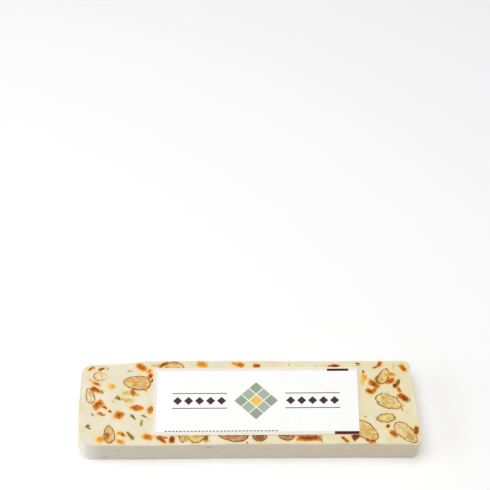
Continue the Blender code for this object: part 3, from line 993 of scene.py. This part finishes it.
@dataclass
class CutAlmond:
    """One almond: a bowl of flesh set in the nougat, with its cut flush in the face."""

    section: Section
    look: AlmondLook
    segments: int = 120
    rings: int = 28
    proud: float = 0.05 * MM
    recess: float = 0.07 * MM
    dish: float = 0.10 * MM
    grain: float = 0.06 * MM
    groove: float = 0.14 * MM
    cleft_width: float = 0.22 * MM

    def build(self, material: bpy.types.Material) -> bpy.types.Object:
        """Makes the piece in place of its solid, with the marks that its finish reads."""
        section, look = self.section, self.look
        bm = bmesh.new()
        bmesh.ops.create_uvsphere(bm, u_segments=self.segments, v_segments=self.rings, radius=1.0)
        shift = Vector(section.centre) * 900
        half_length = section.half_length
        bare_from, bare_to = (math.radians(edge) for edge in look.bare)
        spot_u, spot_v, spot_reach = look.spot
        stand = -self.recess if section.facing[2] < -0.5 else self.proud
        marks: list[tuple[float, float, float]] = []
        figures: list[tuple[float, float, float]] = []
        grains: list[tuple[float, float, float]] = []
        for vert in bm.verts:
            upper = vert.co.z > -1e-6
            flat = math.hypot(vert.co.x, vert.co.y)
            share = 1 - math.asin(min(1.0, vert.co.z)) * 2 / math.pi if upper else min(1.0, flat)
            angle = math.atan2(vert.co.y, vert.co.x)
            around = Vector((math.cos(angle), math.sin(angle), 0.0))
            chip = noise.noise(around * 1.6 + shift) + 0.6 * noise.noise(around * 5.0 + shift)
            chip += 0.5 * noise.noise(around * 15.0 + shift)
            reach = float(section.reach(np.array([angle]))[0]) * (1 + look.ragged * chip)
            out = share * reach
            u, v = out * math.cos(angle), out * math.sin(angle)
            inside = (1 - share) * reach
            spot = Vector((u, v, 0.0)) / MM
            bend = v - 0.12 * half_length * math.sin(2.2 * u / half_length + shift.x)
            cleft = look.cleft * math.exp(-((bend / self.cleft_width) ** 2)) * ease(abs(u), 0.85 * half_length, 0.55 * half_length)
            if upper:
                relief = noise.noise(Vector((spot.x * 0.35, spot.y * 1.1, 0.0)) + shift)
                hollow = self.dish * ease(inside, 0.0, 1.6 * MM) * (0.6 + 0.4 * math.cos(2 * angle))
                height = stand - 0.5 * hollow + self.grain * relief * ease(inside, 0.1 * MM, 1.2 * MM)
                height -= self.proud * ease(inside, 0.12 * MM, 0.0) + self.groove * cleft
            else:
                height = stand - self.proud + vert.co.z * section.depth
            place = section.centre + section.along * u + section.across * v + section.facing * height
            vert.co = Vector(place)
            bare = bare_from < angle < bare_to
            from_spot = math.hypot(u - spot_u * half_length, 1.3 * (v - spot_v * section.half_width))
            centre = ease(from_spot, spot_reach * half_length, 0.2 * spot_reach * half_length)
            marks.append((inside / MM, look.veil, 0.0 if bare else look.skin))
            figures.append((centre, cleft, look.toast))
            grains.append((spot.x * 0.28 + shift.x, spot.y * 0.9 + shift.y, shift.z))
        bmesh.ops.recalc_face_normals(bm, faces=bm.faces)
        name = section.node.replace("almond", "cut_almond")
        piece = keep(bm, name, [material])
        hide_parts(section.node)
        piece.data.shade_smooth()
        write_colours(piece.data, "section", np.array(marks))
        write_colours(piece.data, "figure", np.array(figures))
        vectors = piece.data.attributes.new("grain", "FLOAT_VECTOR", "POINT")
        vectors.data.foreach_set("vector", np.array(grains, np.float32).ravel())
        return piece


# ---------------------------------------------------------------- the label


@dataclass
class PaperLabel:
    """The label: thin paper that follows the bar, with a plain border and a small printed ornament."""

    low: Vector
    high: Vector
    paper: float = 0.14 * MM
    lift: float = 0.44 * MM
    wave: float = 0.05 * MM
    ink: float = 0.018 * MM
    cell: float = 2.0 * MM
    left_draw: float = 0.5 * MM
    right_draw: float = 1.7 * MM
    back_draw: float = 0.3 * MM

    def hand_cut(self, x: float, y: float) -> tuple[float, float]:
        """Moves a point of the true rectangle to its place in the label, which narrows towards the front."""
        front = (self.high.y - y) / (self.high.y - self.low.y)
        right = (x - self.low.x) / (self.high.x - self.low.x)
        x += front * (self.left_draw * (1 - right) - self.right_draw * right)
        return x, y - self.back_draw * (1 - front)

    def height(self, x: float, y: float) -> float:
        """The paper's upper surface at a point: nearly flat, and a little lifted at its corners."""
        u = abs(x - (self.low.x + self.high.x) / 2) / (self.high.x - self.low.x) * 2
        v = abs(y - (self.low.y + self.high.y) / 2) / (self.high.y - self.low.y) * 2
        ripple = noise.noise(Vector((x * 22, y * 40, 5.0)))
        surface = self.low.z - 0.3 * MM + self.lift
        return surface + self.wave * ripple + 0.08 * MM * ease(u, 0.9, 1.02) * ease(v, 0.8, 1.02)

    def sheet(self, materials: list[bpy.types.Material]) -> bpy.types.Object:
        """The paper."""
        length, width = self.high.x - self.low.x, self.high.y - self.low.y
        centre = (self.low + self.high) / 2
        bm = bmesh.new()
        bmesh.ops.create_grid(
            bm, x_segments=round(length / self.cell), y_segments=round(width / self.cell), size=0.5,
        )
        bmesh.ops.scale(bm, vec=(length, width, 1), verts=bm.verts)
        bmesh.ops.translate(bm, vec=(centre.x, centre.y, 0), verts=bm.verts)
        for vert in bm.verts:
            x, y = self.hand_cut(vert.co.x, vert.co.y)
            vert.co = (x, y, self.height(x, y))
        self.thicken(bm, self.paper)
        piece = keep(bm, "label_paper", materials)
        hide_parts("label")
        piece.data.shade_smooth()
        piece.data.set_sharp_from_angle(angle=math.radians(40))
        return piece

    def thicken(self, bm: bmesh.types.BMesh, depth: float) -> None:
        """Gives a flat shape that looks up a depth below it."""
        lowered = bmesh.ops.extrude_face_region(bm, geom=bm.faces[:], use_keep_orig=True)["geom"]
        verts = [g for g in lowered if isinstance(g, bmesh.types.BMVert)]
        bmesh.ops.translate(bm, vec=(0, 0, -depth), verts=verts)
        bmesh.ops.recalc_face_normals(bm, faces=bm.faces)

    def print_shape(
        self, whole: bmesh.types.BMesh, ink: int, centre: tuple[float, float], size: tuple[float, float],
        corners: int = 0, layer: int = 1,
    ) -> None:
        """Prints one filled figure on the paper.

        Args:
            whole: The mesh that takes it.
            ink: The number of its ink.
            centre: Its middle in millimetres.
            size: Its length and width in millimetres.
            corners: How many corners it has; 0 makes a rectangle.
            layer: 1 straight on the paper, 2 over another print.
        """
        bm = bmesh.new()
        if corners:
            bmesh.ops.create_circle(bm, cap_ends=True, segments=corners, radius=0.5)
        else:
            steps = (max(1, round(size[0] / 2)), max(1, round(size[1] / 2)))
            bmesh.ops.create_grid(bm, x_segments=steps[0], y_segments=steps[1], size=0.5)
        bmesh.ops.scale(bm, vec=(size[0] * MM, size[1] * MM, 1), verts=bm.verts)
        bmesh.ops.translate(bm, vec=(centre[0] * MM, centre[1] * MM, 0), verts=bm.verts)
        for vert in bm.verts:
            x, y = self.hand_cut(vert.co.x, vert.co.y)
            vert.co = (x, y, self.height(x, y) + layer * self.ink)
        self.thicken(bm, (layer + 1) * self.ink)
        for face in bm.faces:
            face.material_index = ink
        merge(whole, bm)

    def ornament(self, inks: list[bpy.types.Material]) -> bpy.types.Object:
        """The print: pale margins, two wine bands, and a lozenge of tiles between rows of small diamonds."""
        margin, wine, dark, sage, moss, gold, grey = range(7)
        left, right = self.low.x / MM, self.high.x / MM
        front, back = self.low.y / MM, self.high.y / MM
        middle = (left + right) / 2, (front + back) / 2
        whole = bmesh.new()
        self.print_shape(whole, margin, (middle[0], back - 1.15), (right - left - 0.2, 2.1))
        self.print_shape(whole, margin, (middle[0], front + 1.25), (right - left - 0.2, 2.3))
        self.print_shape(whole, margin, (left + 0.9, middle[1]), (1.6, back - front - 4.8))
        self.print_shape(whole, wine, (54.8, back - 1.9), (13.0, 1.7), layer=2)
        self.print_shape(whole, wine, (59.3, front + 1.15), (14.6, 2.0), layer=2)
        for k in range(9):
            row, column = divmod(k, 3)
            spot = middle[0] + (column - row) * 4.5, middle[1] + (column + row - 2) * 4.5
            self.print_shape(whole, gold if k == 4 else (sage, moss)[k % 2], spot, (8.2, 8.2), 4)
        for side in (-1, 1):
            centre = middle[0] + side * 34.0
            for k in range(5):
                self.print_shape(whole, dark, (centre + (k - 2) * 6.6, middle[1]), (5.6, 5.6), 4)
            for lift in (-5.2, 5.2):
                self.print_shape(whole, dark, (centre, middle[1] + lift), (33.0, 0.55))
        for k in range(31):
            self.print_shape(whole, grey, (-48.5 + 2.2 * k, front + 2.75), (1.5, 0.6), layer=2)
        return keep(whole, "label_print", inks)


# ---------------------------------------------------------------- the studio


@dataclass
class Studio:
    """A plain pale floor, soft light from above and the left, and the camera."""

    floor_size: float = 6.0
    camera_place: tuple[float, float, float] = (-0.0044, -0.3720, 0.5989)
    camera_elevation: float = 49.72
    camera_azimuth: float = -0.41
    lens: float = 84.5

    def floor(self) -> None:
        """The floor, just under the bar."""
        bm = bmesh.new()
        bmesh.ops.create_grid(bm, x_segments=1, y_segments=1, size=self.floor_size / 2)
        mesh = bpy.data.meshes.new("floor")
        bm.to_mesh(mesh)
        bm.free()
        floor = bpy.data.objects.new("floor", mesh)
        floor.location.z = -0.02 * MM
        bench = Bench("floor")
        mesh.materials.append(bench.finish(Base_Color=(0.97, 0.97, 0.97), Roughness=0.9, Specular_IOR_Level=0.1))
        bpy.context.scene.collection.objects.link(floor)

    def lamp(self, name: str, place: Colour, size: float, power: float) -> None:
        """A square soft light that looks at the bar."""
        data = bpy.data.lights.new(name, "AREA")
        data.shape = "SQUARE"
        data.size = size
        data.energy = power
        lamp = bpy.data.objects.new(name, data)
        lamp.location = place
        lamp.rotation_euler = (-Vector(place)).to_track_quat("-Z", "Y").to_euler()
        bpy.context.scene.collection.objects.link(lamp)

    def sky(self, strength: float) -> None:
        """Even light from all round."""
        world = bpy.data.worlds.new("studio")
        world.use_nodes = True
        world.node_tree.nodes["Background"].inputs["Strength"].default_value = strength
        world.node_tree.nodes["Background"].inputs["Color"].default_value = (1.0, 1.0, 1.0, 1.0)
        bpy.context.scene.world = world

    def camera(self) -> None:
        """The camera."""
        data = bpy.data.cameras.new("camera")
        data.lens = self.lens
        data.clip_start = 0.01
        camera = bpy.data.objects.new("camera", data)
        camera.location = self.camera_place
        camera.rotation_euler = (
            math.radians(90 - self.camera_elevation), 0.0, math.radians(self.camera_azimuth),
        )
        bpy.context.scene.collection.objects.link(camera)
        bpy.context.scene.camera = camera

    def build(self) -> None:
        """Sets up the whole studio."""
        self.camera()
        self.floor()
        self.sky(0.27)
        self.lamp("overhead", (-0.1, -0.05, 1.3), 1.4, 15.8)
        self.lamp("left", (-1.05, -0.16, 0.34), 0.8, 4.4)
        bpy.context.scene.view_settings.view_transform = "Standard"


# ---------------------------------------------------------------- putting it together


def scatter(
    place: Callable[[float, float], Face], low: tuple[float, float], high: tuple[float, float],
    sections: list[Section], longest: float, count: int, seed: int,
) -> list[tuple[Face, Bit]]:
    """Bits strewn over a cut face that holds almonds, clear of them and of each other.

    Args:
        place: The face round a spot of it, for two distances in metres.
        low: The least that the two distances may be, in millimetres.
        high: The most that they may be.
        sections: The almonds in the face.
        longest: The longest that a bit may be, in millimetres.
        count: How many spots to try.
        seed: Where the draws start.

    Returns:
        Each bit with the face round it.
    """
    rng = Random(seed)
    laid: list[tuple[Face, Bit]] = []
    for _ in range(count):
        length = longest * (rng.uniform(0.57, 1.0) if rng.random() < 0.55 else rng.uniform(0.26, 0.5))
        face = place(rng.uniform(low[0], high[0]) * MM, rng.uniform(low[1], high[1]) * MM)
        bit = Bit(
            0.0, 0.0, length, length * rng.uniform(0.45, 0.8), rng.uniform(0, 180), rng.uniform(0.2, 0.9),
            rng.choice(list(Cut)), rng.choice((0.0, 0.0, 0.1, 0.3)),
        )
        spot = np.array([face.origin])
        if any(section.outside(spot)[0] < (length / 2 + 0.8) * MM for section in sections):
            continue
        if any((face.origin - f.origin).length < ((length + b.length) / 2 + 0.6) * MM for f, b in laid):
            continue
        laid.append((face, bit))
    return laid


def main() -> None:
    """Builds every piece of the bar and the studio round it."""
    logging.basicConfig(level=logging.INFO, format="%(name)s %(message)s")
    studio = Studio()
    studio.build()

    low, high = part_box("nougat")
    form = BarForm(low, high)
    nodes = sorted(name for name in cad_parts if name.startswith("almond"))
    sections = [Section(name) for name in nodes]
    faced = {side: [s for s in sections if side in s.node] for side in ("top", "under", "left", "right")}
    x_way, y_way = Vector((1, 0, 0)), Vector((0, 1, 0))
    top = Face(Vector((0, 0, form.thickness)), x_way, y_way)
    strewn = scatter(
        lambda x, y: Face(Vector((x, y, 0.07 * MM)), x_way, -y_way), (-94, -24.5), (94, 24.5), faced["under"], 7.0, 180, 11)
    strewn += scatter(
        lambda y, z: form.end_face(-1, y, z), (-24, 5), (23, 12.5), faced["left"], 5.0, 60, 21)
    strewn += scatter(
        lambda y, z: form.end_face(1, y, z), (-25, 4), (24, 12.5), faced["right"], 5.0, 60, 35)
    peel = [(top, bit) for bit in TOP_PEEL] + [pair for k, pair in enumerate(strewn) if k % 4]
    chips = [(top, bit) for bit in TOP_CHIPS] + [pair for k, pair in enumerate(strewn) if not k % 4]

    NougatBar(form, sections).build(peel, chips, NougatFinish().build())
    fleshes = {flesh: flesh.value.build() for flesh in Flesh}
    spare = Random(5)
    for section in sections:
        look = LOOKS.get(section.node) or AlmondLook(
            spare.choice(list(Flesh)[:2]), veil=spare.choice((0.0, 0.1, 0.3)), ragged=spare.uniform(0.02, 0.07))
        CutAlmond(section, look).build(fleshes[look.flesh])
    BitMaker("peel_bits", "peel", seed=3).build(peel, PEEL_FINISH.build())
    BitMaker("nut_chips", "pistachio", seed=8, divisions=4, growth=1.3).build(chips, CHIP_FINISH.build())

    label = PaperLabel(*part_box("label"))
    label.sheet([PaperFinish("label_paper", linear(250, 250, 249)).build()])
    label.ornament([
        PaperFinish("ink_band", linear(238, 230, 220)).build(),
        PaperFinish("ink_wine", linear(88, 14, 4), 0.8).build(),
        PaperFinish("ink_dark", linear(66, 44, 46)).build(),
        PaperFinish("ink_sage", linear(150, 165, 142)).build(),
        PaperFinish("ink_moss", linear(168, 182, 160)).build(),
        PaperFinish("ink_gold", linear(240, 196, 88)).build(),
        PaperFinish("ink_grey", linear(84, 82, 82)).build(),
    ])


if __name__ == "__main__":
    main()
